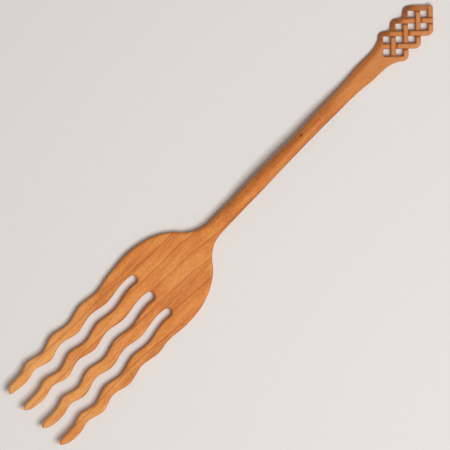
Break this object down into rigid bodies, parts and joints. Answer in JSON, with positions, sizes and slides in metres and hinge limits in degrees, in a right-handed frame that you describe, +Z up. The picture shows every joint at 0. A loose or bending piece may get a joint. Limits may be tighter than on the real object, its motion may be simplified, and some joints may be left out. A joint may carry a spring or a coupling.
{
  "type": "pasta fork",
  "caption": "Flat wooden pasta fork with wavy tines, a rounded palm, a slender handle and a pierced plaited knot at its end.",
  "frame": {"origin": "the middle of the fork's bounding box, on the surface that it lies on", "axes": "+X runs along the fork from the tines to the knot, +Y is its left edge seen from the palm towards the knot, +Z is up, out of its front face"},
  "size_m": [0.35, 0.0566, 0.0156],
  "materials": {
    "wood": "oiled cherry, satin, with fine darker grain lines along the fork"
  },
  "bodies": {
    "root": {"tine_outer_left": "wood", "tine_inner_left": "wood", "tine_inner_right": "wood", "tine_outer_right": "wood", "palm": "wood", "handle": "wood", "handle_flare": "wood", "knot_border_left": "wood", "knot_border_right": "wood", "knot_hook_left": "wood", "knot_hook_right": "wood"}
  },
  "joints": []
}
